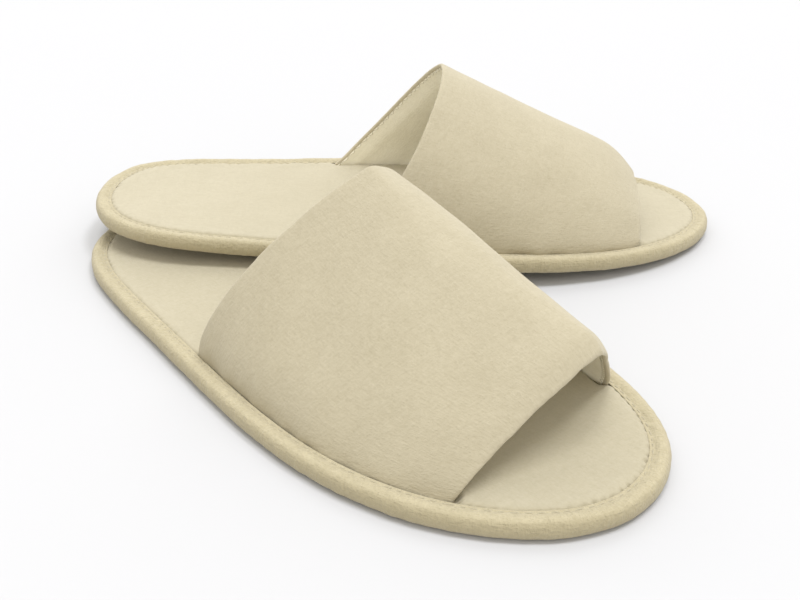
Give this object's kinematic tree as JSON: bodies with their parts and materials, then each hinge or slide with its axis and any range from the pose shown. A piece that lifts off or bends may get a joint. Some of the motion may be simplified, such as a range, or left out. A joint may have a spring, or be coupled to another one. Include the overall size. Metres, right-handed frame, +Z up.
{
  "type": "spa slippers",
  "caption": "Pair of flat open-toe slippers in brushed cotton with foam soles, bound edges and a wide soft upper; one heel rests on the other.",
  "frame": {"origin": "centre of the pair's bounding box, on the floor that the front slipper stands on", "axes": "+X to the right, within 2 degrees of the rear slipper's heel-to-toe line; +Y to the back; +Z up"},
  "size_m": [0.2845, 0.2805, 0.0738],
  "materials": {
    "eva_sole": "matt moulded EVA foam, fine embossed grain",
    "pad_foam": "matt open-cell foam",
    "insole_velour": "smooth short-pile velour",
    "binding_cotton": "brushed cotton tape, folded and stitched",
    "seam_thread": "spun polyester sewing thread",
    "upper_cotton": "brushed cotton with a short nap",
    "upper_foam": "matt foam interlining",
    "lining_cotton": "smooth brushed cotton lining"
  },
  "bodies": {
    "front_slipper": {"front_outsole": "eva_sole", "front_foam_pad": "pad_foam", "front_insole_cover": "insole_velour", "front_binding_tape": "binding_cotton", "front_top_thread": "seam_thread", "front_bottom_thread": "seam_thread", "front_upper_outer": "upper_cotton", "front_upper_foam": "upper_foam", "front_upper_lining": "lining_cotton", "front_throat_hem_thread": "seam_thread", "front_toe_hem_thread": "seam_thread"},
    "rear_slipper": {"rear_outsole": "eva_sole", "rear_foam_pad": "pad_foam", "rear_insole_cover": "insole_velour", "rear_binding_tape": "binding_cotton", "rear_top_thread": "seam_thread", "rear_bottom_thread": "seam_thread", "rear_upper_outer": "upper_cotton", "rear_upper_foam": "upper_foam", "rear_upper_lining": "lining_cotton", "rear_throat_hem_thread": "seam_thread", "rear_toe_hem_thread": "seam_thread"}
  },
  "joints": [
    {"name": "rear_lift", "type": "slide", "parent": "front_slipper", "child": "rear_slipper", "axis": [0, 0, 1], "range_m": [0, 0.15]}
  ]
}
